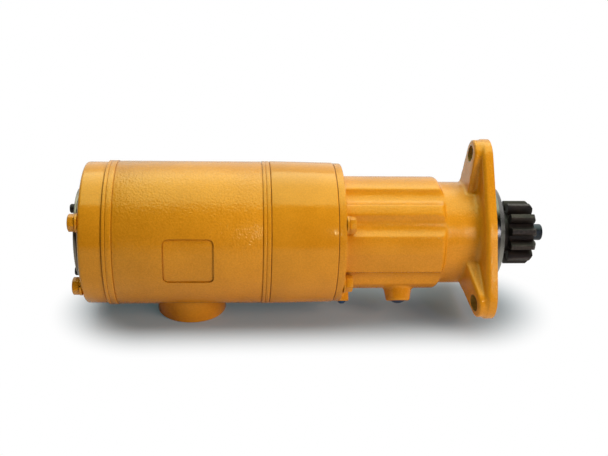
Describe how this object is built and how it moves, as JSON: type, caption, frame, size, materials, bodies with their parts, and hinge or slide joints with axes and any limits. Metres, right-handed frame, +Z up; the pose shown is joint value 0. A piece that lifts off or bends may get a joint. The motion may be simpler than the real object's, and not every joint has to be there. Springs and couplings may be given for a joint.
{
  "type": "air starter motor",
  "caption": "Vane-type air starter with planetary gearing: yellow castings, a lobed mounting flange with a round pilot, and a sliding drive pinion at its nose.",
  "frame": {"origin": "centre of the mounting flange's front face, on the shaft's axis", "axes": "+X along the shaft from the motor to the pinion, +Z up through one lobe of the flange, with the air inlet looking down"},
  "size_m": [0.4057, 0.1526, 0.1575],
  "materials": {
    "yellow_paint": "satin yellow enamel over castings, with a fine orange-peel skin",
    "bare_steel": "turned or ground bare steel",
    "gear_steel": "machined and hardened steel, lightly oiled",
    "black_steel": "black oxide",
    "cast_iron": "fine machined cast iron",
    "aluminium": "turned",
    "bronze": "sintered bronze",
    "rubber": "moulded, matt",
    "gasket": "pressed fibre sheet",
    "vane_laminate": "phenolic laminate",
    "blue_plastic": "moulded plastic"
  },
  "bodies": {
    "starter_body": {"rear_cover": "yellow_paint", "rear_cover_screws": "yellow_paint", "rear_cover_washers": "yellow_paint", "motor_housing": "yellow_paint", "gear_case": "yellow_paint", "drive_housing": "yellow_paint", "drive_housing_screws": "yellow_paint", "drive_housing_washers": "yellow_paint", "deflector_disc": "bare_steel", "deflector_spacers": "bare_steel", "rear_bearing_cap": "bare_steel", "rear_rotor_bearing": "bare_steel", "front_rotor_bearing": "bare_steel", "carrier_bearing": "bare_steel", "cylinder_dowel": "bare_steel", "inlet_strainer": "bare_steel", "pilot_ring": "bare_steel", "return_spring": "bare_steel", "ring_gear": "gear_steel", "deflector_screws": "black_steel", "cylinder_liner": "cast_iron", "rear_end_plate": "cast_iron", "front_end_plate": "cast_iron", "bulkhead": "aluminium", "front_bush": "bronze", "bulkhead_seal": "rubber", "shaft_seal": "rubber", "rear_gasket": "gasket", "middle_gasket": "gasket", "front_gasket": "gasket", "middle_port_plug": "blue_plastic", "rear_port_plug": "blue_plastic"},
    "carrier": {"planet_carrier": "gear_steel", "planet_pins": "bare_steel"},
    "rotor": {"rotor": "gear_steel", "vanes": "vane_laminate", "sun_gear": "gear_steel"},
    "planet_1": {"planet_gear_1": "gear_steel", "planet_bush_1": "bronze"},
    "planet_2": {"planet_gear_2": "gear_steel", "planet_bush_2": "bronze"},
    "planet_3": {"planet_gear_3": "gear_steel", "planet_bush_3": "bronze"},
    "drive": {"drive_shaft": "gear_steel", "shaft_snap_ring": "bare_steel", "pinion": "black_steel", "pinion_washer": "black_steel", "pinion_screw": "black_steel"},
    "piston": {"piston": "aluminium", "piston_seal": "rubber", "piston_bearing": "bare_steel", "piston_snap_ring": "bare_steel"}
  },
  "joints": [
    {"name": "carrier_turn", "type": "hinge", "parent": "starter_body", "child": "carrier", "pos_m": [-0.1365, 0, 0], "axis": [1, 0, 0], "continuous": true},
    {"name": "rotor_turn", "type": "hinge", "parent": "starter_body", "child": "rotor", "pos_m": [-0.25, 0, 0], "axis": [1, 0, 0], "continuous": true},
    {"name": "planet_1_turn", "type": "hinge", "parent": "carrier", "child": "planet_1", "pos_m": [-0.1703, 0, 0.02625], "axis": [1, 0, 0], "continuous": true},
    {"name": "planet_2_turn", "type": "hinge", "parent": "carrier", "child": "planet_2", "pos_m": [-0.1703, -0.02273, -0.01312], "axis": [1, 0, 0], "continuous": true},
    {"name": "planet_3_turn", "type": "hinge", "parent": "carrier", "child": "planet_3", "pos_m": [-0.1703, 0.02273, -0.01312], "axis": [1, 0, 0], "continuous": true},
    {"name": "pinion_slide", "type": "slide", "parent": "carrier", "child": "drive", "axis": [1, 0, 0], "range_m": [0, 0.025], "stiffness_N_per_m": 6000, "springref_m": -0.02, "deforming": ["return_spring"]},
    {"name": "piston_slide", "type": "slide", "parent": "starter_body", "child": "piston", "axis": [1, 0, 0], "range_m": [0, 0.025]}
  ],
  "couplings": [
    {"joint": "rotor_turn", "follows": "carrier_turn", "ratio": 4.6667},
    {"joint": "planet_1_turn", "follows": "carrier_turn", "ratio": -2.75},
    {"joint": "planet_2_turn", "follows": "carrier_turn", "ratio": -2.75},
    {"joint": "planet_3_turn", "follows": "carrier_turn", "ratio": -2.75},
    {"joint": "piston_slide", "follows": "pinion_slide", "ratio": 1}
  ]
}
